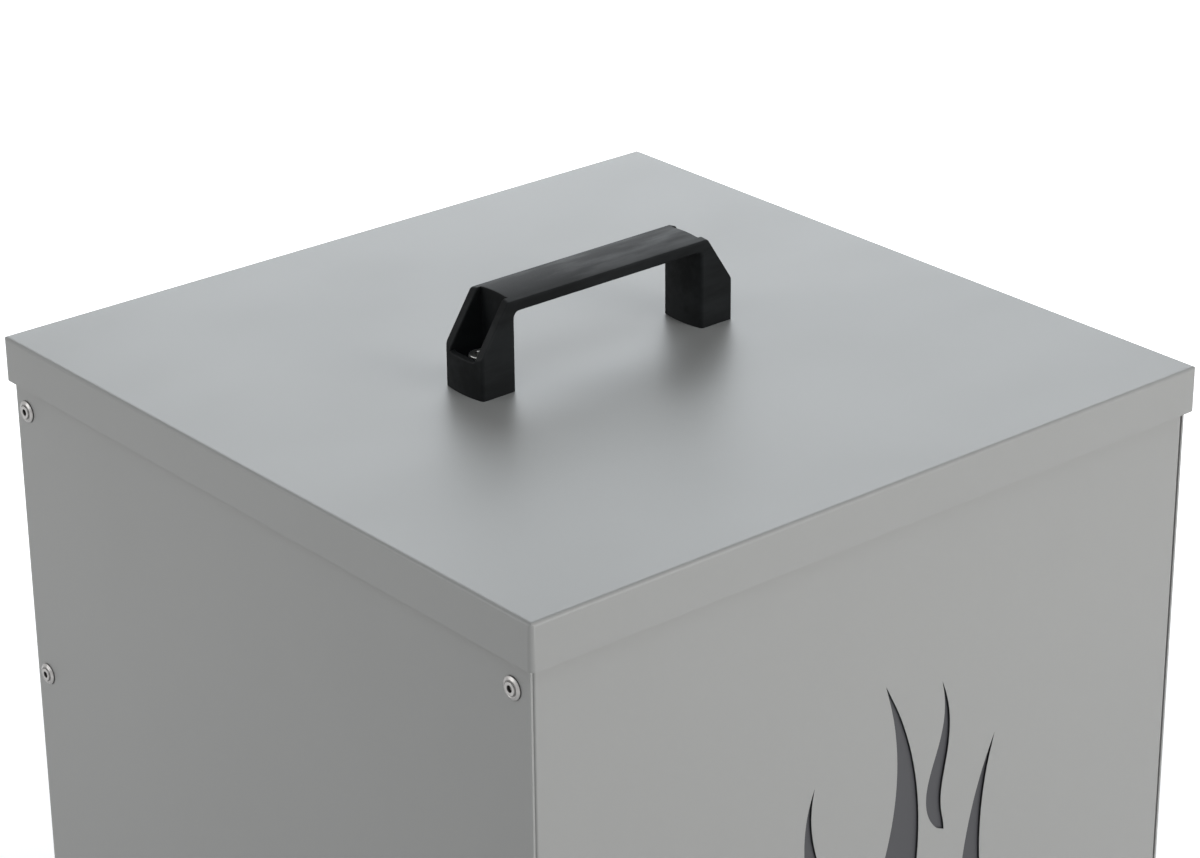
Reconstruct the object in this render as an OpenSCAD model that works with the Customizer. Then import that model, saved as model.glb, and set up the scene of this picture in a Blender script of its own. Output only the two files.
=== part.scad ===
// Pellet storage bin: a square bin of folded and riveted sheet steel on four rubber feet, with a
// lift-off lid that carries a bridge handle. The front panel has a cut-out flame motif with a dark
// plate behind it. Millimetres, +Z up, the front faces -Y. The origin is on the floor under the
// middle of the bin.

/* [Bin] */
// Width of the bin over the side panels
bin_w = 286; // [220:1:400]
// Depth of the bin over the front and back panels
bin_d = 284; // [220:1:400]
// Height of the panels, from the bottom flanges to the rim
bin_h = 462; // [420:1:700]
// Thickness of the panel sheet
panel_t = 0.8; // [0.6:0.1:1.2]
// Inside radius of the bends in the panels
bend_r = 0.6; // [0.5:0.1:2]
// How far the front and back panels fold back along the side panels
side_flange = 25; // [18:1:40]
// How far the rim is folded inward
rim_flange = 12; // [8:1:20]
// How far the front and back panels fold in under the floor
floor_flange = 50; // [45:1:70]
// Gap left at a corner between two bends of one sheet
bend_relief = 0.5; // [0.3:0.1:2]
// Height of the floor pan's flanges at the side panels
pan_flange = 35; // [28:1:60]

/* [Lid] */
// Thickness of the lid sheet
lid_t = 1; // [0.8:0.1:1.5]
// Height of the lid's skirt, top sheet included
skirt_h = 16.3; // [12:0.1:22]
// Outside radius of the lid's top edges
lid_edge_r = 1.5; // [1.1:0.1:2]
// Outside radius of the lid's upright corners
lid_corner_r = 2; // [1.6:0.1:4]
// Gap between the skirt and each side panel
lid_gap_x = 1; // [0.3:0.1:3]
// Gap between the skirt and the front and back panels
lid_gap_y = 2; // [0.3:0.1:3]

/* [Handle] */
// Length of the handle over its ends
handle_l = 113; // [100:0.5:140]
// Width of the handle
handle_w = 20; // [17:0.5:28]
// Height of the handle at the crown of its bar
handle_h = 33.3; // [32:0.1:50]
// Thickness of the bar at its sides
bar_t = 3.8; // [3.5:0.1:7]
// Rise of the bar's crown over its side edges
crown_rise = 1; // [0.6:0.1:4]
// Length of each leg along the lid
leg_l = 16.5; // [15.5:0.5:20]
// Height at which a leg's end starts to slope
knee_h = 13.3; // [12.5:0.1:22]
// How far the sloped end leans in up to the bar's side edge
slope_run = 12.3; // [6:0.1:13]
// Radius under the bar where it meets the legs
arch_r = 3; // [2:0.5:8]
// Bulge of the legs' end faces
end_bulge = 1.2; // [0.3:0.1:2]
// Bulge of the legs' inner faces
inner_bulge = 1.4; // [0.3:0.1:2]
// Wall between the pocket in each end and the arch
pocket_wall = 2.2; // [1.8:0.1:3]
// Walls at the sides of the pocket
pocket_side = 3.3; // [2.2:0.1:3.5]
// Low wall at the outer end of the pocket
pocket_end = 2.7; // [2:0.1:3.2]
// Height of the pocket's floor, on which the screw's head seats
pocket_floor = 7.5; // [6:0.5:10]
// Height of the low end wall of the pocket
pocket_lip = 13; // [11:0.5:14]
// Radius of the lower corners of the pocket's mouth
pocket_corner_r = 1.5; // [1:0.5:4]

/* [Fasteners] */
// Rows of rivets down each corner
rivet_rows = 5; // [4:1:8]
// Distance from the rim and from the bottom to the nearest rivet row
rivet_end = 25; // [18:1:40]
// Distance from a side panel's front edge to its rivets
rivet_edge_front = 8.5; // [7:0.5:9]
// Distance from a side panel's back edge to its rivets
rivet_edge_back = 6.5; // [6.5:0.5:9]
// Diameter of a rivet's shank
rivet_d = 4; // [3.6:0.1:4.8]
// Diameter of a rivet's domed head
rivet_head_d = 8; // [7.8:0.1:9.5]
// Height of a rivet's domed head
rivet_head_h = 1.5; // [1:0.1:1.6]
// Distance between the two floor rivets of a side
floor_rivet_pitch = 120; // [60:1:140]
// Diameter of the screws' thread
screw_d = 5; // [4:0.1:5]
// How far a screw stands out past its nut
screw_tail = 1.5; // [0.5:0.1:3]
// Clearance all round a rivet in its hole
rivet_gap = 0.1; // [0.05:0.05:0.2]
// Clearance all round a screw in its hole
screw_gap = 0.25; // [0.1:0.05:0.5]

/* [Feet] */
// Height of the rubber feet
foot_h = 12; // [12:0.5:20]
// Diameter of a foot at the top
foot_d = 30; // [24:1:36]
// Difference between a foot's top and bottom diameters
foot_taper = 4; // [1:0.5:6]
// Distance from the bin's sides to the middle of a foot
foot_inset = 28; // [25:1:30]
// Depth of the rubber above the screw's washer
foot_seat = 5; // [4:0.5:7]

/* [Flame motif] */
// Height of the motif's base above the bottom of the panel
motif_z = 149; // [110:1:160]
// Steps along each side of a flame tongue
motif_steps = 20; // [10:1:28]
// Gap between the backing plate's ends and the panel's bends
backing_gap = 0.4; // [0.2:0.1:2]

/* [Hidden] */
$fn = 64;

paint_grey = [0.62, 0.63, 0.62];
plate_grey = [0.33, 0.33, 0.34];
handle_black = [0.1, 0.1, 0.11];
rivet_metal = [0.75, 0.74, 0.73];
zinc = [0.68, 0.69, 0.7];
rubber_black = [0.07, 0.07, 0.07];

// Past both faces of what is cut
cut = 1;

// Heights in the standing bin
bottom_z = foot_h;
rim_z = bottom_z + bin_h;
lid_top_z = rim_z + lid_t;
pan_top_z = bottom_z + 2 * panel_t;

// Sheets that lie inside one another
bend_out = bend_r + panel_t;
inner_w = bin_w - 2 * panel_t;
backing_w = inner_w - 2 * panel_t;
backing_d = side_flange - panel_t;
backing_bottom_z = bottom_z + bend_out + backing_gap;
backing_top_z = rim_z - bend_out - backing_gap;
pan_d = bin_d - 2 * (panel_t + bend_r + bend_relief);
pan_flange_l = bin_d - 2 * (side_flange + bend_out);

// Lid
lid_w = bin_w + 2 * (lid_gap_x + lid_t);
lid_d = bin_d + 2 * (lid_gap_y + lid_t);

// Rivets
rivet_r = rivet_d / 2;
rivet_hole_r = rivet_r + rivet_gap;
rivet_y_front = rivet_edge_front - bin_d / 2;
rivet_y_back = bin_d / 2 - rivet_edge_back;
rivet_pitch = (bin_h - 2 * rivet_end) / (rivet_rows - 1);
rivet_zs = [for (i = [0:rivet_rows - 1]) bottom_z + rivet_end + i * rivet_pitch];
bulb_r = rivet_r + 0.8;
bulb_l = 3.5;
stem_r = rivet_r * 0.55;
stem_recess = 1;
stem_head_r = rivet_r * 0.85;
stem_head_l = 1.6;
floor_rivet_z = bottom_z + pan_flange * 0.6;

// Screws, washers and nuts
screw_r = screw_d / 2;
screw_hole_r = screw_r + screw_gap;
head_r = screw_r * 1.7;
head_h = screw_r * 2;
socket_af = 0.8 * screw_d;
socket_depth = head_h * 0.5;
washer_r = screw_r * 2;
washer_t = 1;
nut_af = screw_d * 1.6;
nut_h = screw_d * 0.94;
collar_h = 1.2;
collar_r = nut_af / 2;
flange_r = screw_r * 2.3;
flange_h = 1.2;
thread_gap = 0.05;

// Feet
foot_x = bin_w / 2 - foot_inset;
foot_y = bin_d / 2 - foot_inset;
foot_washer_r = screw_r * 2.3;
foot_washer_t = 1.2;
foot_recess_r = foot_washer_r + 0.2;
foot_washer_z = foot_h - foot_seat - foot_washer_t;
pan_head_r = screw_r * 1.9;
pan_head_h = screw_r * 1.3;

// Handle
handle_r = handle_w / 2;
bar_side_z = handle_h - crown_rise;
arch_z = bar_side_z - bar_t;
arch_w = handle_l - 2 * (leg_l - inner_bulge);
crown_r = (pow(handle_r, 2) + pow(crown_rise, 2)) / (2 * crown_rise);
end_r = (pow(handle_r, 2) + pow(end_bulge, 2)) / (2 * end_bulge);
inner_r = (pow(handle_r, 2) + pow(inner_bulge, 2)) / (2 * inner_bulge);
pocket_back_x = handle_l / 2 - leg_l + pocket_wall;
pocket_end_x = handle_l / 2 - pocket_end;
handle_screw_x = (pocket_back_x + pocket_end_x) / 2;
handle_screw_l = pocket_floor + lid_t + washer_t + nut_h + collar_h + screw_tail;
foot_screw_l = foot_washer_t + foot_seat + 2 * panel_t + nut_h + screw_tail;
slope_top_x = handle_l / 2 - slope_run * (handle_h - knee_h) / (bar_side_z - knee_h);

// Flame motif. Each tongue has a spine of four points, across and up from the middle of the
// motif's base, and a greatest width.
tongues = [
    [[2, 22], [-52, 95], [46, 150], [4, 240], 30],
    [[-24, 14], [-84, 62], [-18, 104], [-50, 180], 21],
    [[27, 14], [88, 68], [24, 124], [56, 205], 22],
    [[-46, 8], [-96, 30], [-66, 66], [-76, 116], 13],
    [[50, 8], [104, 38], [68, 78], [82, 138], 14],
    [[-34, 142], [-8, 162], [-38, 182], [-27, 214], 9],
    [[33, 176], [18, 194], [40, 206], [30, 233], 7],
    [[-30, -10], [-10, -2], [10, -2], [30, -10], 7]
];

// A rectangle with the corner at the origin rounded.
module corner_2d(a, b, r) {
    translate([r, 0]) square([a - r, b]);
    translate([0, r]) square([a, b - r]);
    translate([r, r]) circle(r);
}

// The profile of a sheet with one bend, its outer corner at the origin.
module angle_2d(a, b, t, r) {
    difference() {
        corner_2d(a, b, r + t);
        translate([t, t]) corner_2d(a, b, r);
    }
}

// The profile of a sheet w wide, folded up at both sides, by a at the left and by b at the right.
module channel_2d(w, a, b, t, r) {
    difference() {
        union() {
            translate([-w / 2, 0]) corner_2d(w / 2, a, r + t);
            translate([w / 2, 0]) mirror([1, 0]) corner_2d(w / 2, b, r + t);
        }
        translate([t - w / 2, t]) corner_2d(w / 2, a, r);
        translate([w / 2 - t, t]) mirror([1, 0]) corner_2d(w / 2, b, r);
    }
}

// The positions of the rivets along one corner, with +Z along the rivet from its head into the bin.
module at_corner_rivets(side, end) {
    for (z = rivet_zs)
        translate([side * bin_w / 2, end < 0 ? rivet_y_front : rivet_y_back, z])
        rotate([0, -side * 90, 0]) children();
}

// The positions of the rivets that hold the floor pan to one side.
module at_floor_rivets(side) {
    for (y = [-1, 1] * floor_rivet_pitch / 2)
        translate([side * bin_w / 2, y, floor_rivet_z]) rotate([0, -side * 90, 0]) children();
}

module rivet_hole() {
    translate([0, 0, -cut]) cylinder(h = 4 * panel_t + 2 * cut, r = rivet_hole_r);
}

module at_feet() {
    for (x = [-foot_x, foot_x], y = [-foot_y, foot_y]) translate([x, y, 0]) children();
}

module foot_screw_holes() {
    at_feet() translate([0, 0, bottom_z - cut]) cylinder(h = 2 * panel_t + 2 * cut, r = screw_hole_r);
}

// The front panel (end = -1) before its ornament is cut, or the back panel (end = 1).
module end_panel(end) {
    flange_l = inner_w - 2 * (bend_out + bend_relief);
    difference() {
        mirror([0, end < 0 ? 0 : 1, 0]) {
            translate([0, -bin_d / 2, bottom_z + bend_out])
                linear_extrude(bin_h - 2 * bend_out)
                channel_2d(inner_w, side_flange, side_flange, panel_t, bend_r);
            translate([flange_l / 2, -bin_d / 2, bottom_z + bin_h / 2]) rotate([0, -90, 0])
                linear_extrude(flange_l)
                channel_2d(bin_h, floor_flange, rim_flange, panel_t, bend_r);
        }
        for (side = [-1, 1]) at_corner_rivets(side, end) rivet_hole();
        foot_screw_holes();
    }
}

function spine(p, s) =
    pow(1 - s, 3) * p[0] + 3 * s * pow(1 - s, 2) * p[1] + 3 * s * s * (1 - s) * p[2] + pow(s, 3) * p[3];
function spine_slope(p, s) =
    pow(1 - s, 2) * (p[1] - p[0]) + 2 * s * (1 - s) * (p[2] - p[1]) + s * s * (p[3] - p[2]);
function across(v) = [-v[1], v[0]] / norm(v);
// Half width along a tongue: round at its foot, thickest a third of the way up and sharp at its tip.
function half_width(s) = sin(180 * pow(s, 0.6)) / 2;
function tongue_point(p, s, side) = spine(p, s) + side * p[4] * half_width(s) * across(spine_slope(p, s));

module tongue_2d(p) {
    n = motif_steps;
    polygon(concat(
        [for (i = [0:n]) tongue_point(p, i / n, 1)],
        [for (i = [n - 1:-1:1]) tongue_point(p, i / n, -1)]
    ));
}

module front_panel() {
    color(paint_grey)
    difference() {
        end_panel(-1);
        for (p = tongues)
            translate([0, panel_t + cut - bin_d / 2, bottom_z + motif_z]) rotate([90, 0, 0])
                linear_extrude(panel_t + 2 * cut) tongue_2d(p);
    }
}

module back_panel() {
    color(paint_grey) end_panel(1);
}

module motif_backing_plate() {
    color(plate_grey)
    difference() {
        translate([0, panel_t - bin_d / 2, backing_bottom_z])
            linear_extrude(backing_top_z - backing_bottom_z)
            channel_2d(backing_w, backing_d, backing_d, panel_t, bend_r);
        for (side = [-1, 1]) at_corner_rivets(side, -1) rivet_hole();
    }
}

// The left side panel: flat, with its rim folded in between the rims of the front and back panels.
module side_panel() {
    rim_l = bin_d - 2 * (rim_flange + bend_relief);
    difference() {
        union() {
            translate([-bin_w / 2, -bin_d / 2, bottom_z]) cube([panel_t, bin_d, bin_h - bend_out]);
            translate([-bin_w / 2, rim_l / 2, rim_z]) rotate([90, 0, 0])
                linear_extrude(rim_l) mirror([0, 1]) angle_2d(rim_flange, rim_flange, panel_t, bend_r);
        }
        for (end = [-1, 1]) at_corner_rivets(-1, end) rivet_hole();
        at_floor_rivets(-1) rivet_hole();
    }
}

module left_side_panel() {
    color(paint_grey) side_panel();
}

module right_side_panel() {
    color(paint_grey) mirror([1, 0, 0]) side_panel();
}

// The floor, on top of the folded-in front and back panels, with a flange up each side panel.
module floor_pan() {
    strip_w = inner_w - 2 * (bend_out + bend_relief);
    color(paint_grey)
    difference() {
        union() {
            translate([0, pan_flange_l / 2, bottom_z + panel_t]) rotate([90, 0, 0])
                linear_extrude(pan_flange_l)
                channel_2d(inner_w, pan_flange, pan_flange, panel_t, bend_r);
            translate([-strip_w / 2, -pan_d / 2, bottom_z + panel_t]) cube([strip_w, pan_d, panel_t]);
        }
        for (side = [-1, 1]) at_floor_rivets(side) rivet_hole();
        foot_screw_holes();
    }
}

// A set blind rivet, +Z from its head into the bin, through sheets grip thick.
module rivet(grip) {
    dome_r = (pow(rivet_head_d / 2, 2) + pow(rivet_head_h, 2)) / (2 * rivet_head_h);
    difference() {
        union() {
            intersection() {
                translate([0, 0, dome_r - rivet_head_h]) sphere(dome_r);
                translate([0, 0, -rivet_head_h]) cylinder(h = rivet_head_h, r = rivet_head_d / 2);
            }
            cylinder(h = grip, r = rivet_r);
            translate([0, 0, grip]) cylinder(h = bulb_l, r1 = bulb_r, r2 = rivet_r);
        }
        translate([0, 0, -rivet_head_h - cut]) cylinder(h = rivet_head_h + grip + bulb_l + 2 * cut, r = stem_r);
    }
}

// The broken stem that stays in a set rivet.
module rivet_stem(grip) {
    translate([0, 0, stem_recess - rivet_head_h])
        cylinder(h = grip + bulb_l + rivet_head_h - stem_recess, r = stem_r);
    translate([0, 0, grip + bulb_l]) cylinder(h = stem_head_l, r1 = stem_head_r, r2 = stem_head_r * 0.7);
}

grip_front = 3 * panel_t;
grip_back = 2 * panel_t;

module rivets_left_front() {
    color(rivet_metal) at_corner_rivets(-1, -1) rivet(grip_front);
}

module rivets_left_back() {
    color(rivet_metal) at_corner_rivets(-1, 1) rivet(grip_back);
}

module rivets_right_front() {
    color(rivet_metal) at_corner_rivets(1, -1) rivet(grip_front);
}

module rivets_right_back() {
    color(rivet_metal) at_corner_rivets(1, 1) rivet(grip_back);
}

module rivets_floor_left() {
    color(rivet_metal) at_floor_rivets(-1) rivet(grip_back);
}

module rivets_floor_right() {
    color(rivet_metal) at_floor_rivets(1) rivet(grip_back);
}

module rivet_stems(side) {
    at_corner_rivets(side, -1) rivet_stem(grip_front);
    at_corner_rivets(side, 1) rivet_stem(grip_back);
    at_floor_rivets(side) rivet_stem(grip_back);
}

module rivet_stems_left() {
    color(zinc) rivet_stems(-1);
}

module rivet_stems_right() {
    color(zinc) rivet_stems(1);
}

// A rubber foot, wider at the top, with a recess from below for the washer and the screw's head.
module foot(x, y) {
    color(rubber_black)
    translate([x, y, 0])
    difference() {
        cylinder(h = foot_h, d1 = foot_d - foot_taper, d2 = foot_d);
        translate([0, 0, -cut]) cylinder(h = foot_h - foot_seat + cut, r = foot_recess_r);
        translate([0, 0, -cut]) cylinder(h = foot_h + 2 * cut, r = screw_hole_r);
    }
}

module foot_front_left() {
    foot(-foot_x, -foot_y);
}

module foot_front_right() {
    foot(foot_x, -foot_y);
}

module foot_back_left() {
    foot(-foot_x, foot_y);
}

module foot_back_right() {
    foot(foot_x, foot_y);
}

module washer(r, t) {
    difference() {
        cylinder(h = t, r = r);
        translate([0, 0, -cut]) cylinder(h = t + 2 * cut, r = screw_hole_r);
    }
}

module foot_washers() {
    color(zinc) at_feet() translate([0, 0, foot_washer_z]) washer(foot_washer_r, foot_washer_t);
}

// A screw from below, with a low round head and a cross recess.
module foot_screw() {
    slot_w = screw_r * 0.45;
    slot_l = screw_r * 2;
    slot_h = pan_head_h * 0.6;
    difference() {
        union() {
            translate([0, 0, -pan_head_h]) cylinder(h = pan_head_h, r1 = pan_head_r * 0.8, r2 = pan_head_r);
            cylinder(h = foot_screw_l, r = screw_r);
        }
        for (turn = [0, 90]) rotate(turn)
            translate([-slot_l / 2, -slot_w / 2, -pan_head_h - cut]) cube([slot_l, slot_w, slot_h + cut]);
    }
}

module foot_screws() {
    color(zinc) at_feet() translate([0, 0, foot_washer_z]) foot_screw();
}

// A hexagon nut with a round flange below it.
module flanged_nut() {
    difference() {
        union() {
            cylinder(h = flange_h, r = flange_r);
            cylinder(h = nut_h, r = nut_af / sqrt(3), $fn = 6);
        }
        translate([0, 0, -cut]) cylinder(h = nut_h + 2 * cut, r = screw_r + thread_gap);
    }
}

module foot_nuts() {
    color(zinc) at_feet() translate([0, 0, pan_top_z]) flanged_nut();
}

// A box open below, its top at z = 0, with its top edges and upright corners rounded.
module rounded_cover(w, d, h, r, corner_r) {
    intersection() {
        translate([0, d / 2, 0]) rotate([90, 0, 0]) linear_extrude(d) cover_profile_2d(w, h, r);
        translate([-w / 2, 0, 0]) rotate([90, 0, 90]) linear_extrude(w) cover_profile_2d(d, h, r);
        translate([0, 0, -h]) linear_extrude(h) rounded_square_2d(w, d, corner_r);
    }
}

// A cover seen from the side: square at the bottom and rounded at the top corners.
module cover_profile_2d(w, h, r) {
    translate([-w / 2, 0]) mirror([0, 1]) corner_2d(w / 2, h, r);
    translate([w / 2, 0]) mirror([1, 0]) mirror([0, 1]) corner_2d(w / 2, h, r);
}

module rounded_square_2d(w, d, r) {
    translate([r - w / 2, -d / 2]) square([w - 2 * r, d]);
    translate([-w / 2, r - d / 2]) square([w, d - 2 * r]);
    for (x = [-1, 1], y = [-1, 1]) translate([x * (w / 2 - r), y * (d / 2 - r)]) circle(r);
}

module at_handle_screws() {
    for (x = [-handle_screw_x, handle_screw_x]) translate([x, 0, lid_top_z]) children();
}

module lid_shell() {
    color(paint_grey)
    difference() {
        translate([0, 0, lid_top_z]) rounded_cover(lid_w, lid_d, skirt_h, lid_edge_r, lid_corner_r);
        translate([0, 0, rim_z])
            rounded_cover(lid_w - 2 * lid_t, lid_d - 2 * lid_t, skirt_h, lid_edge_r - lid_t, lid_corner_r - lid_t);
        at_handle_screws() translate([0, 0, -lid_t - cut]) cylinder(h = lid_t + 2 * cut, r = screw_hole_r);
    }
}

// One half of the handle seen from above, from the middle to its bulging end.
module handle_half_2d() {
    intersection() {
        translate([0, -handle_r]) square([handle_l / 2, handle_w]);
        translate([handle_l / 2 - end_r, 0]) circle(end_r);
    }
}

// The handle seen from the side, with sloped ends and without its arch.
module handle_side_2d() {
    polygon([
        [-handle_l / 2, 0], [handle_l / 2, 0], [handle_l / 2, knee_h], [slope_top_x, handle_h],
        [-slope_top_x, handle_h], [-handle_l / 2, knee_h]
    ]);
}

// What is taken out between the legs, rounded below the bar.
module handle_arch_2d() {
    translate([-arch_w / 2, -cut]) square([arch_w, arch_z - arch_r + cut]);
    translate([arch_r - arch_w / 2, -cut]) square([arch_w - 2 * arch_r, arch_z + cut]);
    for (x = [-1, 1]) translate([x * (arch_w / 2 - arch_r), arch_z - arch_r]) circle(arch_r);
}

// The same seen from above, drawn in by the bulging inner faces of the legs.
module arch_plan_2d() {
    difference() {
        translate([-arch_w / 2 - cut, -handle_r - cut]) square([arch_w + 2 * cut, handle_w + 2 * cut]);
        for (x = [-1, 1]) translate([x * (arch_w / 2 - inner_bulge + inner_r), 0]) circle(inner_r);
    }
}

// The crown of the bar: a bar of round section along the handle.
module crown_bar(r) {
    translate([-handle_l / 2 - cut, 0, handle_h - crown_r]) rotate([0, 90, 0])
        cylinder(h = handle_l + 2 * cut, r = r);
}

// The mouth of a pocket seen from the handle's end.
module pocket_mouth_2d() {
    r = pocket_corner_r;
    half = handle_r - pocket_side;
    translate([-half, pocket_lip + r]) square([2 * half, handle_h]);
    translate([r - half, pocket_lip]) square([2 * (half - r), handle_h]);
    for (y = [-1, 1]) translate([y * (half - r), pocket_lip + r]) circle(r);
}

// The pocket in the right-hand end, open at the top and above its low end wall.
module pocket() {
    half = handle_r - pocket_side;
    translate([pocket_back_x, -half, pocket_floor])
        cube([pocket_end_x - pocket_back_x, 2 * half, handle_h]);
    translate([pocket_back_x, 0, 0]) rotate([90, 0, 90]) linear_extrude(leg_l) pocket_mouth_2d();
}

module bridge_handle() {
    color(handle_black)
    translate([0, 0, lid_top_z])
    difference() {
        intersection() {
            translate([0, handle_r, 0]) rotate([90, 0, 0]) linear_extrude(handle_w) handle_side_2d();
            linear_extrude(handle_h) {
                handle_half_2d();
                mirror([1, 0]) handle_half_2d();
            }
            crown_bar(crown_r);
        }
        intersection() {
            translate([0, handle_r + cut, 0]) rotate([90, 0, 0])
                linear_extrude(handle_w + 2 * cut) handle_arch_2d();
            translate([0, 0, -cut]) linear_extrude(handle_h) arch_plan_2d();
        }
        for (end = [0, 1]) mirror([end, 0, 0]) {
            pocket();
            translate([handle_screw_x, 0, -cut]) cylinder(h = pocket_floor + 2 * cut, r = screw_hole_r);
        }
    }
}

// A socket head screw that points down from the seat of its head at z = 0.
module socket_screw() {
    difference() {
        union() {
            cylinder(h = head_h, r = head_r);
            translate([0, 0, -handle_screw_l]) cylinder(h = handle_screw_l, r = screw_r);
        }
        translate([0, 0, head_h - socket_depth])
            cylinder(h = socket_depth + cut, r = socket_af / sqrt(3), $fn = 6);
    }
}

module handle_screw(side) {
    color(zinc) translate([side * handle_screw_x, 0, lid_top_z + pocket_floor]) socket_screw();
}

module handle_screw_left() {
    handle_screw(-1);
}

module handle_screw_right() {
    handle_screw(1);
}

module handle_washer(side) {
    color(zinc) translate([side * handle_screw_x, 0, rim_z - washer_t]) washer(washer_r, washer_t);
}

module handle_washer_left() {
    handle_washer(-1);
}

module handle_washer_right() {
    handle_washer(1);
}

// A lock nut under the lid, its round collar down.
module handle_nut(side) {
    color(zinc)
    translate([side * handle_screw_x, 0, rim_z - washer_t])
    difference() {
        union() {
            translate([0, 0, -nut_h]) cylinder(h = nut_h, r = nut_af / sqrt(3), $fn = 6);
            translate([0, 0, -nut_h - collar_h]) cylinder(h = collar_h + cut, r = collar_r);
        }
        translate([0, 0, -nut_h - collar_h - cut])
            cylinder(h = nut_h + collar_h + 2 * cut, r = screw_r + thread_gap);
    }
}

module handle_nut_left() {
    handle_nut(-1);
}

module handle_nut_right() {
    handle_nut(1);
}

front_panel();
motif_backing_plate();
back_panel();
left_side_panel();
right_side_panel();
floor_pan();
rivets_left_front();
rivets_left_back();
rivets_right_front();
rivets_right_back();
rivets_floor_left();
rivets_floor_right();
rivet_stems_left();
rivet_stems_right();
foot_front_left();
foot_front_right();
foot_back_left();
foot_back_right();
foot_washers();
foot_screws();
foot_nuts();
lid_shell();
bridge_handle();
handle_screw_left();
handle_screw_right();
handle_washer_left();
handle_washer_right();
handle_nut_left();
handle_nut_right();
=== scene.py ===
# %% [markdown]
# # A sheet metal pellet bin
# The real thing is a square bin for heating pellets: folded steel sheet, powder coated in a
# warm light grey, riveted down its corners, with a dark plate behind cut-outs in the front
# and a loose cover that is lifted off by a black plastic handle.
# The sizes come from the packed CAD model. This lesson only adds what CAD does not have:
# rounded edges, real fasteners, finishes, light and a camera.

# %% Load the frame
import math

import bmesh
import bpy
from mathutils import Matrix, Quaternion, Vector


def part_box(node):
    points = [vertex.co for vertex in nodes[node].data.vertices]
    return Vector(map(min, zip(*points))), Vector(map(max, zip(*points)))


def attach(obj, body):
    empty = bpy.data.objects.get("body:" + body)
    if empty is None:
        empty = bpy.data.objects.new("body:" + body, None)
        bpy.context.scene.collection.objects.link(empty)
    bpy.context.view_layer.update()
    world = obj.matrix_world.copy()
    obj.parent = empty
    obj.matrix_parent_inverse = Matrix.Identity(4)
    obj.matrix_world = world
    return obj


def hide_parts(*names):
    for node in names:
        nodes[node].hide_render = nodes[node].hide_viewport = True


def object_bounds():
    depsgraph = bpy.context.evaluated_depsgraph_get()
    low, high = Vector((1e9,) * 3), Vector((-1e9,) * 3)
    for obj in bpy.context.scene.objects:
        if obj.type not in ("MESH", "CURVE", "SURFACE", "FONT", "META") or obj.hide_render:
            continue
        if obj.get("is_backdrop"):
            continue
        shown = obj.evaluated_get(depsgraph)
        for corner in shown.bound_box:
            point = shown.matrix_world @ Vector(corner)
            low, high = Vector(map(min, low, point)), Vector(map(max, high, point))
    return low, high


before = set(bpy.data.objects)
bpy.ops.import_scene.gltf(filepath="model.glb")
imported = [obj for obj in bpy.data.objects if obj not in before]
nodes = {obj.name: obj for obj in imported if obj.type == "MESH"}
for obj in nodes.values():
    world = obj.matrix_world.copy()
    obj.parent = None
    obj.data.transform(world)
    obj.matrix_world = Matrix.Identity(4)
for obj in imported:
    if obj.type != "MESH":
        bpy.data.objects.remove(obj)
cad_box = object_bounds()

MM = 0.001
collection = bpy.context.scene.collection
print("CAD box in mm:", [[round(c / MM, 1) for c in corner] for corner in cad_box])

# %% [markdown]
# ## Camera
# The photograph looks down on a front corner with a long lens, so upright edges run almost
# parallel. The camera could be placed by hand, but turning it about a point on the bin by
# two angles is easier to correct: one for the walk round the bin, one for the height.

# %% Camera
AIM = Vector((-0.0012, -0.0053, 0.4479))
DISTANCE = 1.226
AROUND = math.radians(-39.92)
ABOVE = math.radians(24.05)
ROLL = math.radians(-0.53)
LENS = 107.0

back = Vector((
    math.sin(AROUND) * math.cos(ABOVE),
    -math.cos(AROUND) * math.cos(ABOVE),
    math.sin(ABOVE),
))
camera_data = bpy.data.cameras.new("camera")
camera_data.lens = LENS
camera_data.sensor_width = 36.0
camera_data.clip_end = 60.0
camera = bpy.data.objects.new("camera", camera_data)
camera.rotation_mode = "QUATERNION"
camera.location = AIM + back * DISTANCE
camera.rotation_quaternion = (-back).to_track_quat("-Z", "Y") @ Quaternion((0, 0, 1), ROLL)
collection.objects.link(camera)
bpy.context.scene.camera = camera
bpy.context.scene.view_settings.view_transform = "Standard"
print("camera stands at", [round(c, 3) for c in camera.location])

# %% [markdown]
# ## Shader sums as Python
# A material is a graph of small sums. Placing each Math node by hand hides the idea, so one
# class wraps a socket and lets Python's own signs add the nodes. Anything that is not a sum
# comes from its one method, which takes the node's type, its settings and its sockets.

# %% The wrapped socket
class Wire:
    """A socket of a node tree that can be added, scaled and compared like a number."""

    def __init__(self, tree, socket=None):
        self.tree = tree
        self.socket = socket

    def node(self, kind, settings=None, sockets=None, out=0):
        """Adds a node, sets it up, fills its sockets and gives one of its outputs."""
        made = self.tree.nodes.new(kind)
        for name, value in (settings or {}).items():
            setattr(made, name, value)
        for key, value in (sockets or {}).items():
            plug(self.tree, made.inputs[key], value)
        return Wire(self.tree, made.outputs[out])

    def maths(self, operation, *values):
        return self.node("ShaderNodeMath", {"operation": operation}, dict(enumerate(values)))

    def __add__(self, other):
        return self.maths("ADD", self, other)

    def __sub__(self, other):
        return self.maths("SUBTRACT", self, other)

    def __rsub__(self, other):
        return self.maths("SUBTRACT", other, self)

    def __mul__(self, other):
        return self.maths("MULTIPLY", self, other)

    def __abs__(self):
        return self.maths("ABSOLUTE", self)

    def least(self, other):
        return self.maths("MINIMUM", self, other)

    def most(self, other):
        return self.maths("MAXIMUM", self, other)

    __radd__ = __add__
    __rmul__ = __mul__


def plug(tree, socket, value):
    """Links a wire to a socket, or sets the socket to a plain value."""
    if isinstance(value, Wire):
        tree.links.new(value.socket, socket)
    else:
        socket.default_value = value


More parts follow.
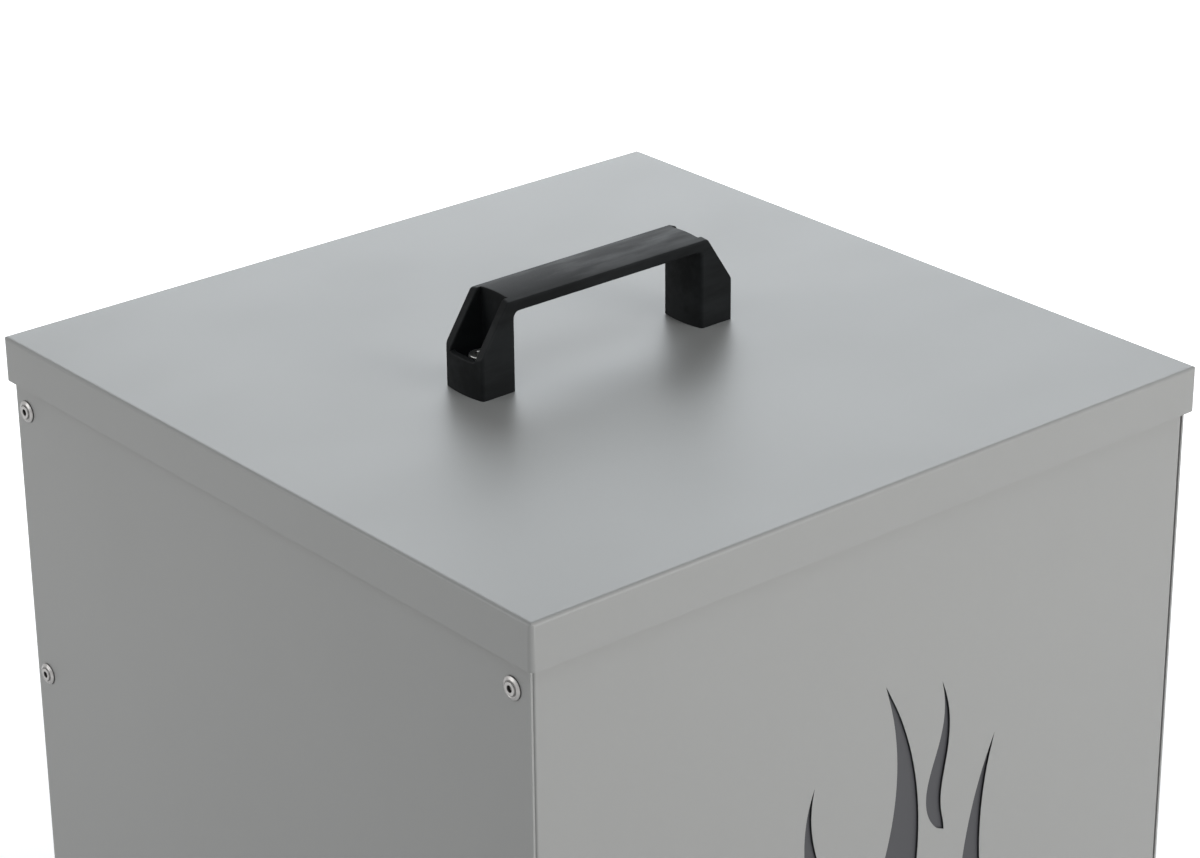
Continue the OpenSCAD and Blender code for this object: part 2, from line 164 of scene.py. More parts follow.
signs = [name for name, value in vars(Wire).items() if name.startswith("__") and callable(value)]
print("signs that a Wire knows:", signs[1:])

# %% [markdown]
# ## Words for patterns
# Every finish here is made of the same few patterns: cloudy noise at some size, a soft step
# between two values, and a mix of two colours. Sizes are given in millimetres, because that is
# how one thinks of grain, and patterns are laid in object space, so they stay on a piece
# when it moves and don't need an unwrapped mesh.

# %% Places and patterns
def place(wire):
    """The point on the piece, in metres."""
    return wire.node("ShaderNodeTexCoord", out="Object")


def coordinate(wire, axis):
    """The X, Y or Z of the point on the piece, in metres."""
    return wire.node("ShaderNodeSeparateXYZ", {}, {0: place(wire)}, out=axis)


def clouds(wire, size_mm, detail=2.0, stretch=(1, 1, 1), shift=0.0):
    """Noise from 0 to 1 with patches about size_mm across."""
    scaled = wire.node(
        "ShaderNodeVectorMath",
        {"operation": "MULTIPLY_ADD"},
        {0: place(wire), 1: stretch, 2: (shift, shift, shift)},
    )
    sockets = {"Vector": scaled, "Scale": 1 / (size_mm * MM), "Detail": detail}
    return wire.node("ShaderNodeTexNoise", {}, sockets, out="Fac")


def soft_step(wire, value, low, high):
    """0 below low, 1 above high, and smooth in between."""
    sockets = {"Value": value, "From Min": low, "From Max": high}
    return wire.node("ShaderNodeMapRange", {"interpolation_type": "SMOOTHSTEP"}, sockets)


print("patches 1 mm wide need a noise scale of", round(1 / MM))

# %% Colours
def blend_colours(wire, amount, first, second):
    """The first colour where amount is 0, the second where it is 1."""
    sockets = {0: amount, 6: first, 7: second}
    return wire.node("ShaderNodeMix", {"data_type": "RGBA"}, sockets, out=2)


def shaded(colour, by=1.0):
    """A colour made lighter or darker, with an alpha of one."""
    return tuple(c * by for c in colour) + (1.0,)


def toned(wire, colour, tone):
    """A colour made lighter or darker by a wire, so it can vary over the surface."""
    return wire.node("ShaderNodeVectorMath", {"operation": "SCALE"}, {0: colour, "Scale": tone})


print("a mid grey made a tenth lighter:", [round(c, 2) for c in shaded((0.5, 0.5, 0.5), 1.1)])

# %% Materials
def bumped(wire, height_mm):
    """A normal from a height in millimetres."""
    sockets = {"Height": height_mm, "Distance": MM, "Strength": 1.0}
    return wire.node("ShaderNodeBump", {}, sockets, out="Normal")


def start_material(name, constants):
    """A new material, its Principled shader with its constants set, and a wire to build from."""
    material = bpy.data.materials.new(name)
    material.use_nodes = True
    shader = material.node_tree.nodes["Principled BSDF"]
    for socket, value in constants.items():
        shader.inputs[socket].default_value = value
    return material, Wire(material.node_tree)


def finish_material(material, **wires):
    """Feeds wires to the shader's sockets, which are named as in Base_Color or Normal."""
    shader = material.node_tree.nodes["Principled BSDF"]
    for socket, wire in wires.items():
        plug(material.node_tree, shader.inputs[socket.replace("_", " ")], wire)
    print("made the material", material.name, "of", len(material.node_tree.nodes), "nodes")
    return material


print("materials so far:", len(bpy.data.materials))

# %% [markdown]
# ## The floor and the light
# The bin was photographed on white, under wide soft lamps: the cover is the lightest, the front
# a little darker and the left side darker still. A sky picture would do it in one step, but
# lamps show what each does. The main one is wide, cool and high behind the bin, so the cover
# grows lighter towards the back, and another hangs overhead. One stands in front, a weak one
# at the left, and the room itself gives a little light from all round.
# The floor is pale and matt. It keeps the shadow round the bin, and away from it the floor
# glows by itself to plain white for whatever looks at it, so no extra light is needed.

# %% Room light
ROOM_LIGHT = 0.06

world = bpy.data.worlds.new("room")
bpy.context.scene.world = world
world.use_nodes = True
room = Wire(world.node_tree)


def seen_rays(wire):
    """1 where the camera, a gloss or clear plastic looks, 0 for light on matt surfaces."""
    camera_ray = wire.node("ShaderNodeLightPath", out="Is Camera Ray")
    glossy_ray = wire.node("ShaderNodeLightPath", out="Is Glossy Ray")
    clear_ray = wire.node("ShaderNodeLightPath", out="Is Transmission Ray")
    return (camera_ray + glossy_ray + clear_ray).least(1.0)


seen = seen_rays(room)
background = world.node_tree.nodes["Background"]
background.inputs["Color"].default_value = (1, 1, 1, 1)
plug(world.node_tree, background.inputs["Strength"], seen * (1 - ROOM_LIGHT) + ROOM_LIGHT)
print("the room gives", ROOM_LIGHT, "to matt surfaces")

# %% Lamps
COOL = (0.89, 0.95, 1.0)


def lamp(name, spot, target, width, power, colour=(1.0, 1.0, 1.0)):
    """A square soft lamp at spot that faces target."""
    data = bpy.data.lights.new(name, "AREA")
    data.shape = "SQUARE"
    data.size = width
    data.energy = power
    data.color = colour
    made = bpy.data.objects.new(name, data)
    made.location = spot
    made.rotation_mode = "QUATERNION"
    made.rotation_quaternion = (Vector(target) - Vector(spot)).to_track_quat("-Z", "Y")
    collection.objects.link(made)
    print("lamp", name, "gives", power, "W")


lamp("behind", (1.25, 1.45, 1.38), (0.0, 0.0, 0.45), 1.5, 18.3, COOL)
lamp("overhead", (-0.8, -0.75, 2.2), (0.0, 0.0, 0.45), 1.6, 10.0, COOL)
lamp("front", (0.6, -2.0, 0.85), (0.0, 0.0, 0.35), 1.0, 23.5)
lamp("side", (-1.4, 0.75, 0.85), (0.0, 0.0, 0.35), 0.8, 6.0)

# %% Floor
FLOOR_WIDTH = 30.0
PALE = (0.80, 0.80, 0.80)
SHADOW_REACH = 0.25
WHITE_FROM = 1.1


def pale_floor():
    """A matt floor that glows by itself, up to white away from the bin."""
    constants = {"Roughness": 0.9, "Specular IOR Level": 0.1, "Emission Strength": 1.0}
    material, wire = start_material("pale_floor", constants)
    point = {0: place(wire)}
    spread = wire.node("ShaderNodeVectorMath", {"operation": "LENGTH"}, point, out="Value")
    glow = soft_step(wire, spread, SHADOW_REACH, WHITE_FROM) * 0.6 + 0.4
    mottle = (clouds(wire, 400) - 0.5) * 0.04 + 1
    return finish_material(
        material,
        Base_Color=toned(wire, PALE, mottle),
        Emission_Color=toned(wire, (1, 1, 1), glow * seen_rays(wire)),
    )


reach = FLOOR_WIDTH / 2
floor_mesh = bpy.data.meshes.new("floor")
corners = [(-reach, -reach, 0), (reach, -reach, 0), (reach, reach, 0), (-reach, reach, 0)]
floor_mesh.from_pydata(corners, [], [(0, 1, 2, 3)])
floor_mesh.materials.append(pale_floor())
floor = bpy.data.objects.new("floor", floor_mesh)
collection.objects.link(floor)
floor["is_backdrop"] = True

# %% [markdown]
# ## Grey powder coat
# The coat is baked on as powder. It flows out to a satin skin with a faint orange peel, a
# wave about a millimetre wide and a few thousandths high. The colour drifts a little over a
# sheet, the gloss more so. On outside corners the coat is thin and rubbed, so it is smoother
# there, and it is also a shade lighter, partly for the rubbed coat and partly as a painted
# highlight along the rounded edge. A mask painted on the mesh would need an unwrapped mesh,
# so the mask is worked out from the sheet's own box: near an edge of a box, two of the three
# distances to its sides are small, so the middle one of the three says how far off the edge is.

# %% Edge mask
# Width in mm of the edge band that is rubbed, and that is also painted lighter as a highlight.
RUBBED_AND_LIT_WIDTH = 1.6


def edge_mask(wire, box, width_mm):
    """1 on the edges of the box, 0 from width_mm inwards."""
    gaps = []
    for axis, low, high in zip("XYZ", *box):
        gaps.append((high - low) / 2 - abs(coordinate(wire, axis) - (high + low) / 2))
    a, b, c = gaps
    middle = a.least(b).most(a.most(b).least(c))
    ragged = (clouds(wire, 3, 3.0) - 0.5) * (width_mm * MM)
    return 1 - soft_step(wire, middle + ragged, 0.0, width_mm * MM)


print("edges are rubbed over", RUBBED_AND_LIT_WIDTH, "mm")

# %% Walls of cut-outs
SHEET = 0.8
FOLD = 10.0


def cut_walls(wire, box):
    """1 on the walls of holes in the front of the sheet that fills the box, 0 on its folds."""
    centre = (box[0] + box[1]) / 2
    to_side = box[1].x - abs(coordinate(wire, "X"))
    to_fold = box[1].z - centre.z - abs(coordinate(wire, "Z") - centre.z)
    inner = soft_step(wire, to_side.least(to_fold), (FOLD - 2) * MM, (FOLD + 2) * MM)
    depth = coordinate(wire, "Y") - box[0].y
    behind_face = soft_step(wire, depth, 0.05 * MM, 0.2 * MM)
    not_beyond = 1 - soft_step(wire, depth, (SHEET + 0.1) * MM, (SHEET + 0.2) * MM)
    return behind_face * not_beyond * inner


print("cut-outs go through", SHEET, "mm of sheet,", FOLD, "mm or more from its folds")

# %% Grey powder coat
GREY = (0.372, 0.372, 0.362)
SCALE = (0.012, 0.012, 0.013)


def powder_coat(name, colour, box, roughness=0.42, rub_and_highlight=0.04, seam_shade=0.0, cut_through=False):
    """A satin powder coat over a sheet that fills the box.

    Its edges are a shade lighter, partly for the rubbed coat and partly as a painted highlight,
    and its left and right ends can be a shade darker, as painted shade in the groove beside the
    next sheet. With cut_through, the walls of holes in the sheet's front are made darker.
    """
    material, wire = start_material(name, {"IOR": 1.5, "Specular IOR Level": 0.5})
    # The edge mask: smoother rubbed coat, and a lighter tone that is partly wear, partly painted
    # highlight.
    rubbed_and_lit = edge_mask(wire, box, RUBBED_AND_LIT_WIDTH)
    drift = clouds(wire, 120, 3.0)
    fleck = clouds(wire, 1.5, 2.0)
    # Painted shade in the groove at the sheet's left and right ends, beside the next sheet.
    groove = soft_step(wire, abs(coordinate(wire, "X")), box[1].x - 1.2 * MM, box[1].x - 0.2 * MM)
    tone = (drift - 0.5) * 0.05 + (fleck - 0.5) * 0.02 + rubbed_and_lit * rub_and_highlight + 1 - groove * seam_shade
    base = toned(wire, colour, tone)
    # With cut_through, the walls of the cut-outs are made darker.
    if cut_through:
        base = blend_colours(wire, cut_walls(wire, box), base, shaded(SCALE))
    smears = soft_step(wire, clouds(wire, 60, 4.0, (1, 1.6, 1), 0.3), 0.35, 0.75)
    gloss = smears * 0.02 - rubbed_and_lit * 0.04 + (fleck - 0.5) * 0.03 + roughness
    peel = clouds(wire, 1.1, 1.5)
    slack = clouds(wire, 90, 1.0, shift=0.7)
    bump = bumped(wire, peel * 0.003 + slack * 0.010)
    return finish_material(material, Base_Color=base, Roughness=gloss, Normal=bump)


print("grey coat:", GREY, "and the scale on cut walls:", SCALE)

# %% [markdown]
# ## Dark plate, black plastic, rivet aluminium, broken steel, zinc and rubber
# Six more finishes. The plate behind the cut-outs is a matt anthracite coat. The handle is
# glass-filled nylon, black with a fine spark-eroded grain and a mottled sheen where hands
# and packing have polished it. The rivets are bare aluminium, barrel-finished, so they are
# bright and slightly scratched. Their stems are steel, snapped off and grey. Screws, nuts and
# washers are zinc plated with a faint bluish passivation. The feet are dull black rubber that
# picks up dust where they touch the floor.
# One colour with one gloss would do for a first look, but a real finish is never that even.
# So each one mixes two colours by a pattern of its own size, and its gloss varies as well.

# %% Black handle plastic
BLACK = (0.0105, 0.0115, 0.0120)


def handle_plastic():
    """Black nylon with a fine grain and patches that are polished."""
    material, wire = start_material("black_nylon", {"IOR": 1.45, "Specular IOR Level": 0.09})
    patches = clouds(wire, 22, 4.0, (0.45, 1.4, 1.4))
    streaks = clouds(wire, 7, 3.0, (0.35, 1.6, 1.6), 0.6)
    polish = soft_step(wire, patches * 0.65 + streaks * 0.35, 0.40, 0.62)
    grain = clouds(wire, 0.5, 2.0)
    base = blend_colours(wire, polish, shaded(BLACK, 0.8), shaded(BLACK, 1.6))
    gloss = 0.57 - polish * 0.17 + (grain - 0.5) * 0.10
    height = grain * 0.012 + clouds(wire, 6, 2.0) * 0.02
    return finish_material(material, Base_Color=base, Roughness=gloss, Normal=bumped(wire, height))


nylon = handle_plastic()

# %% Rivet aluminium
ALUMINIUM = (0.33, 0.322, 0.315)
CAVITY_SHADE_COLOUR = (0.045, 0.043, 0.042)

# Radii in mm between which the painted shade in a rivet's groove, in its hole and under its rim
# comes and goes.
GROOVE_START = (2.2, 2.35)
GROOVE_END = (2.6, 2.9)
HOLE_SIDE = (1.08, 1.33)
HEAD_RIM = (3.75, 3.98)


def lathe_mark(wire, name):
    """The radius or the height in mm that the lathe below leaves on every point."""
    return wire.node("ShaderNodeAttribute", {"attribute_name": name}, out="Fac")


def rivet_aluminium():
    """Tumbled aluminium with painted shade in the head's groove, in its hole and under its rim."""
    material, wire = start_material("rivet_aluminium", {"Metallic": 1.0})
    radius = lathe_mark(wire, "radius")
    height = lathe_mark(wire, "height")
    # Painted shade: darker in the head's groove, in the hole and at the foot of the rim.
    groove = soft_step(wire, radius, *GROOVE_START) - soft_step(wire, radius, *GROOVE_END)
    hole = 1 - soft_step(wire, radius, *HOLE_SIDE)
    foot = soft_step(wire, radius, *HEAD_RIM) * (1 - soft_step(wire, height, 0.1, 0.5))
    tumbled = clouds(wire, 1.2, 4.0)
    cavity_shade = (groove * 0.6).most(hole).most(foot) * (tumbled * 0.5 + 0.6)
    nicks = soft_step(wire, clouds(wire, 0.7, 3.0, (1, 3, 0.6), 0.2), 0.60, 0.75)
    bare = blend_colours(wire, tumbled, shaded(ALUMINIUM, 0.72), shaded(ALUMINIUM, 1.15))
    base = blend_colours(wire, cavity_shade.least(1.0), bare, shaded(CAVITY_SHADE_COLOUR))
    gloss = tumbled * 0.18 + nicks * 0.12 + cavity_shade * 0.2 + 0.24
    bump = bumped(wire, tumbled * 0.012 - nicks * 0.006)
    return finish_material(material, Base_Color=base, Roughness=gloss, Normal=bump)


aluminium = rivet_aluminium()

# %% Broken steel
STEM = (0.13, 0.125, 0.12)
RUST = (0.07, 0.045, 0.03)


def broken_steel():
    """Torn grey steel with spots of rust."""
    material, wire = start_material("broken_steel", {})
    crystals = clouds(wire, 0.35, 3.0)
    rust = soft_step(wire, clouds(wire, 1.4, 2.0, shift=0.4), 0.55, 0.8)
    base = blend_colours(wire, rust * 0.35, shaded(STEM), shaded(RUST))
    return finish_material(
        material,
        Base_Color=base,
        Roughness=crystals * 0.25 + 0.42,
        Metallic=1 - rust * 0.3,
        Normal=bumped(wire, crystals * 0.08),
    )


steel = broken_steel()

# %% Zinc plate
ZINC = (0.62, 0.64, 0.66)
YELLOWED = (0.66, 0.66, 0.60)
THREAD_ROOT_SHADE = (0.10, 0.10, 0.095)


def zinc_plate():
    """Bright zinc with a pale bloom, and painted shade in the roots of the threads."""
    material, wire = start_material("zinc_plate", {"Metallic": 1.0})
    bloom = clouds(wire, 3.5, 3.0)
    grain = clouds(wire, 0.4, 3.0)
    cold = blend_colours(wire, bloom, shaded(ZINC, 0.9), shaded(YELLOWED))
    # Painted shade in the roots of the threads, where the radius is smallest.
    thread_root = 1 - soft_step(wire, lathe_mark(wire, "radius"), 2.1, 2.42)
    root_shaded = blend_colours(wire, thread_root * 0.7, cold, shaded(THREAD_ROOT_SHADE))
    gloss = (grain - 0.5) * 0.2 + bloom * 0.1 + 0.27
    bump = bumped(wire, grain * 0.006)
    return finish_material(material, Base_Color=root_shaded, Roughness=gloss, Normal=bump)


zinc = zinc_plate()

# %% Foot rubber
RUBBER = (0.022, 0.022, 0.023)
DUST = (0.16, 0.15, 0.14)


def foot_rubber():
    """Dull black rubber, dusty near the floor."""
    material, wire = start_material("buffer_rubber", {"IOR": 1.5, "Specular IOR Level": 0.35})
    low = 1 - soft_step(wire, coordinate(wire, "Z"), 0.0, 4 * MM)
    dust = soft_step(wire, clouds(wire, 5, 4.0), 0.35, 0.8) * (low * 0.5 + 0.12)
    base = blend_colours(wire, dust, shaded(RUBBER), shaded(DUST))
    gloss = dust * 0.2 + 0.62
    bump = bumped(wire, clouds(wire, 0.6, 2.0) * 0.02)
    return finish_material(material, Base_Color=base, Roughness=gloss, Normal=bump)


rubber = foot_rubber()

# %% [markdown]
# ## Dressing a CAD solid
# A CAD solid has knife-sharp edges, which no real sheet or moulding has, and light tells them
# apart at once: a real edge always catches a thin highlight. A solid's copy is therefore
# welded, its flat faces are joined to single faces, and a bevel rounds what is still
# sharp. Normals weighted by area keep the broad faces flat. The bevel could be left to a
# shader trick, but then the silhouette stays hard and an exported mesh loses it.

# %% Shading and settling
def shade(piece, angle):
    """Smooth shading, except over edges sharper than the angle."""
    piece.data.polygons.foreach_set("use_smooth", [True] * len(piece.data.polygons))
    piece.data.set_sharp_from_angle(angle=math.radians(angle))


def settle(piece, body, slot, material, *replaced):
    """Gives the piece its material, hangs it on the body that carries it and hides the CAD nodes it
    replaces; slot is not used.
    """
    piece.data.materials.clear()
    piece.data.materials.append(material)
    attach(piece, body)
    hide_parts(*replaced)


print("nodes to dress:", len(nodes))

# %% Dressed copies
WELD = 0.001 * MM
FLAT = math.radians(0.6)
SHARP = math.radians(35)


def dressed(node, name, edge_mm, refine=None):
    """A welded copy of a CAD node with its sharp edges rounded, refined first if need be."""
    grid = bmesh.new()
    grid.from_mesh(nodes[node].data)
    bmesh.ops.remove_doubles(grid, verts=grid.verts, dist=WELD)
    bmesh.ops.dissolve_limit(grid, angle_limit=FLAT, verts=grid.verts, edges=grid.edges)
    if refine:
        refine(grid)
    mesh = bpy.data.meshes.new(name)
    grid.to_mesh(mesh)
    grid.free()
    for layer in ("custom_normal", "sharp_edge", "sharp_face"):
        if layer in mesh.attributes:
            mesh.attributes.remove(mesh.attributes[layer])
    piece = bpy.data.objects.new(name, mesh)
    collection.objects.link(piece)
    mesh.polygons.foreach_set("use_smooth", [True] * len(mesh.polygons))
    bevel = piece.modifiers.new("soft_edges", "BEVEL")
    bevel.width = edge_mm * MM
    bevel.segments = 2
    bevel.limit_method = "ANGLE"
    bevel.angle_limit = SHARP
    bevel.miter_outer = "MITER_ARC"
    bevel.use_clamp_overlap = True
    weighted = piece.modifiers.new("broad_faces_flat", "WEIGHTED_NORMAL")
    weighted.keep_sharp = True
    made = piece.evaluated_get(bpy.context.evaluated_depsgraph_get()).to_mesh()
    print(name, "has", len(made.polygons), "faces with edges of", edge_mm, "mm")
    return piece


print("points closer than", WELD / MM, "mm are welded")

# %% [markdown]
# ## The body sheets
# Front and back are folded channels, the two sides are flat sheets that lap over their
# flanges, and the floor is a shallow pan. All are 0.8 mm steel, so a deburred, coated edge
# has a radius of little more than a tenth of a millimetre.
#
# The laser follows true curves, but the CAD solid has each flame as a chain of short
# straight cuts. So every straight wall of a cut-out is split in three, and the new points are
# moved onto a cubic curve through the old ones. Tips stay sharp.

# %% A curve through old points
def curve_point(before, start, stop, after, t):
    """A point on a cubic curve from start to stop that runs in line with their neighbours."""
    chord = stop - start
    tangents = []
    for side, other in ((start - before, stop - before), (after - stop, after - start)):
        at_tip = side.angle(chord, 0.0) > SHARP
        tangents.append(chord if at_tip else other.normalized() * chord.length)
    leave, arrive = tangents
    return (
        start * (2 * t ** 3 - 3 * t ** 2 + 1) + leave * (t ** 3 - 2 * t ** 2 + t)
        + stop * (3 * t ** 2 - 2 * t ** 3) + arrive * (t ** 3 - t ** 2)
    )


straight = [Vector((x, 0, 0)) for x in range(4)]
print("half way along a straight run:", tuple(curve_point(*straight, 0.5)))

# %% Smooth cut-outs
def smooth_cuts(grid):
    """Splits the walls of the cut-outs in the front sheet and bends them into curves."""
    face_y = min(v.co.y for v in grid.verts)
    clear_x = max(v.co.x for v in grid.verts) - (FOLD + 2) * MM

    def in_face(vert):
        return abs(vert.co.y - face_y) < 0.01 * MM

    def behind(vert, wall):
        ends = [edge.other_vert(vert) for edge in vert.link_edges]
        return next(v for v in ends if v in wall.verts[:] and not in_face(v))

    walls = []
    for face in grid.faces:
        centre = face.calc_center_median()
        across = abs(face.normal.y) < 0.1 and len(face.verts) == 4
        in_sheet = abs(centre.x) < clear_x and centre.y - face_y < 1 * MM
        if across and in_sheet and sum(in_face(v) for v in face.verts) == 2:
            walls.append(face)
    ends = {}
    for wall in walls:
        a, b = [v for v in wall.verts if in_face(v)]
        ends.setdefault(a, []).append(b)
        ends.setdefault(b, []).append(a)
    jobs = []
    for wall in walls:
        a, b = [v for v in wall.verts if in_face(v)]
        if len(ends[a]) != 2 or len(ends[b]) != 2:
            continue
        before = [v for v in ends[a] if v is not b][0].co.copy()
        after = [v for v in ends[b] if v is not a][0].co.copy()
        deep = [behind(a, wall), behind(b, wall)]
        spots = [curve_point(before, a.co.copy(), b.co.copy(), after, t) for t in (1 / 3, 2 / 3)]
        jobs.append((a, b, deep, spots))
    for a, b, deep, spots in jobs:
        near, far = a, deep[0]
        for spot in spots:
            pair = []
            for first, last in ((near, b), (far, deep[1])):
                edge = next(e for e in first.link_edges if e.other_vert(first) is last)
                fresh = bmesh.utils.edge_split(edge, first, 0.5)[1]
                fresh.co = Vector((spot.x, first.co.y, spot.z))
                pair.append(fresh)
            shared = next(f for f in pair[0].link_faces if f in pair[1].link_faces[:])
            bmesh.utils.face_split(shared, pair[0], pair[1])
            near, far = pair
    print("walls of cut-outs:", len(walls), "of which bent:", len(jobs))


# %% Body sheets
SHEET_EDGE = 0.14

# The front and back sheets get painted shade at their ends, in the grooves beside the side sheets.
for node, name, seam_shade in (
    ("front_panel", "front_sheet", 0.4),
    ("back_panel", "back_sheet", 0.4),
    ("left_side_panel", "left_sheet", 0.0),
    ("right_side_panel", "right_sheet", 0.0),
    ("floor_pan", "bottom_pan", 0.0),
):
    cut_out = node == "front_panel"
    sheet = dressed(node, name, SHEET_EDGE, smooth_cuts if cut_out else None)
    sheet_coat = powder_coat(name + "_coat", GREY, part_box(node), seam_shade=seam_shade, cut_through=cut_out)
    settle(sheet, "bin", "grey_paint", sheet_coat, node)

# %% Dark plate
DARK = (0.041, 0.041, 0.0465)
plate = dressed("motif_backing_plate", "dark_plate", 0.1)
plate_coat = powder_coat("dark_coat", DARK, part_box("motif_backing_plate"), 0.5)
settle(plate, "bin", "dark_paint", plate_coat, "motif_backing_plate")

# %% [markdown]
# ## The cover
# A shallow tray of 1 mm sheet with its corners welded and ground round. The CAD solid has
# that rounding already, so only the cut lower edge is softened. Hands rub its upper edges
# most, and they are painted a shade lighter than the sheets' edges: partly for that wear,
# partly as a painted highlight that fills the shade on their rounding. The box for the mask
# reaches below the skirt, and that leaves the lower edge as it is.

# %% Cover
cover = dressed("lid_shell", "cover", 0.06)
low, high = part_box("lid_shell")
deep_box = (low - Vector((0, 0, 10 * MM)), high)
# The cover's edges are painted lighter than the sheets': partly rubbed coat, partly painted
# highlight.
cover_coat = powder_coat("cover_coat", GREY, deep_box, rub_and_highlight=0.07)
settle(cover, "lid", "grey_paint", cover_coat, "lid_shell")

# %% [markdown]
# ## Turned parts
# Rivets, feet, screws, nuts and washers are all made by turning a profile about an axis. A
# dressed CAD copy would do from afar, but the solids are cones and cylinders, and the real
# ones have rolled rims, setting marks, chamfers and threads. So a small lathe makes them: a
# line of points, rounded at its corners, is swept round, and a shaping rule may change the
# radius with the angle, which turns a round bar into a hexagon or cuts a thread in it.

# %% Rounded profiles
def rounded(corners, steps=4):
    """Points of a line of (radius, height, rounding) corners, all in millimetres."""
    points = []
    last = len(corners) - 1
    for i, (r, h, cut) in enumerate(corners):
        here = Vector((r, h))
        if cut == 0 or i in (0, last):
            points.append(tuple(here))
            continue
        before = Vector(corners[i - 1][:2]) - here
        after = Vector(corners[i + 1][:2]) - here
        start = here + before.normalized() * min(cut, before.length * 0.49)
        stop = here + after.normalized() * min(cut, after.length * 0.49)
        for k in range(steps + 1):
            t = k / steps
            points.append(tuple(start * (1 - t) ** 2 + here * (2 * t * (1 - t)) + stop * t ** 2))
    return points


print("one rounded corner gives", len(rounded([(0, 0, 0), (5, 0, 1), (5, 5, 0)])) - 2, "points")

# %% Lathe
SEGMENTS = 48


def turned(name, profile, places, segments=SEGMENTS, shape=None):
    """Turns a closed profile, or one that ends on the axis, about the z axis of each place."""
    verts = []
    faces = []
    marks = {"radius": [], "height": []}
    closed = profile[0][0] > 0 and profile[-1][0] > 0
    rows = len(profile)
    for spot in places:
        first = len(verts)
        for r, h in profile:
            for i in range(segments):
                angle = math.tau * i / segments
                reach = shape(r, h, angle) if shape else r
                point = Vector((reach * math.cos(angle), reach * math.sin(angle), h))
                verts.append(spot @ (point * MM))
                marks["radius"].append(reach)
                marks["height"].append(h)
        for row in range(rows if closed else rows - 1):
            here = first + row * segments
            there = first + (row + 1) % rows * segments
            for i in range(segments):
                j = (i + 1) % segments
                faces.append((here + i, here + j, there + j, there + i))
    mesh = bpy.data.meshes.new(name)
    mesh.from_pydata(verts, [], faces)
    for mark, values in marks.items():
        mesh.attributes.new(mark, "FLOAT", "POINT").data.foreach_set("value", values)
    grid = bmesh.new()
    grid.from_mesh(mesh)
    bmesh.ops.remove_doubles(grid, verts=grid.verts, dist=WELD)
    bmesh.ops.recalc_face_normals(grid, faces=grid.faces)
    holes = sum(1 for e in grid.edges if not e.is_manifold)
    grid.to_mesh(mesh)
    grid.free()
    piece = bpy.data.objects.new(name, mesh)
    collection.objects.link(piece)
    shade(piece, 50)
    print(name, "of", len(places), "parts has", len(mesh.polygons), "faces, open edges:", holes)
    return piece


print("a turned part has", SEGMENTS, "flats of", 360 / SEGMENTS, "degrees if not told otherwise")

# %% Solids of a node
def solids(node):
    """The separate solids of a CAD node, each as its list of points, in a fixed order."""
    grid = bmesh.new()
    grid.from_mesh(nodes[node].data)
    bmesh.ops.remove_doubles(grid, verts=grid.verts, dist=WELD)
    unseen = set(grid.verts)
    found = []
    for vert in grid.verts:
        if vert not in unseen:
            continue
        group = []
        edge = [vert]
        unseen.discard(vert)
        while edge:
            here = edge.pop()
            group.append(here.co.copy())
            for link in here.link_edges:
                there = link.other_vert(here)
                if there in unseen:
                    unseen.discard(there)
                    edge.append(there)
        found.append(group)
    grid.free()
    return found


def middle(points):
    """The middle of the box round some points."""
    low = Vector([min(p[i] for p in points) for i in range(3)])
    high = Vector([max(p[i] for p in points) for i in range(3)])
    return (low + high) / 2


print("the left front corner has", len(solids("rivets_left_front")), "rivets")

# %% [markdown]
# ## The handle
# A moulded bridge of black nylon. Each end has a pocket for a screw, open at the top and above
# a low end wall. It could be a CAD copy with a bevel, but a bevel breaks where small faces meet,
# and here they meet at the pocket. So it is built like a hull: a section is drawn at many
# places across the handle, each with the same number of points, and neighbours are joined.
# Near the sides a section draws in along a quarter circle, and that rounds the edges: by a
# millimetre at the upright corners, by half of that elsewhere and hardly at all underneath.

# %% Handle sizes
# All sizes are in millimetres, from the seat on the cover and from the handle's middle.
low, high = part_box("bridge_handle")
SEAT = low.z / MM
HALF_LENGTH = high.x / MM
HALF_WIDTH = high.y / MM
TOP = (high.z - low.z) / MM
CROWN = 1.0
KNEE = 13.3
SLOPE = 0.647
END_BULGE = 1.2
ARCH = 28.5
ARCH_HALF = 40.0
ARCH_BULGE = 1.4
POCKET_BACK = 42.2
POCKET_END = 53.8
POCKET_SIDE = 6.7
POCKET_FLOOR = 7.5
POCKET_LIP = 13.0
MOUTH = 1.5
RIM = 0.4
EDGE = 0.5
UPRIGHT_EDGE = 1.1
UNDER_EDGE = 0.12
print("handle, long, wide and high:", [round(s, 1) for s in (2 * HALF_LENGTH, 2 * HALF_WIDTH, TOP)])


# %% Bulges and rounded sides
def sag(y, rise):
    """How far an arc that rises by rise over the handle's width has dropped at y."""
    radius = (HALF_WIDTH ** 2 + rise ** 2) / (2 * rise)
    return radius - math.sqrt(radius ** 2 - y ** 2)


def shrink(gap, radius):
    """How far a quarter circle draws in at a gap from the side that it starts from."""
    short = max(radius - gap, 0.0)
    return radius - math.sqrt(radius ** 2 - short ** 2)


print("half way to a side the crown has dropped", round(sag(HALF_WIDTH / 2, CROWN), 2), "mm")

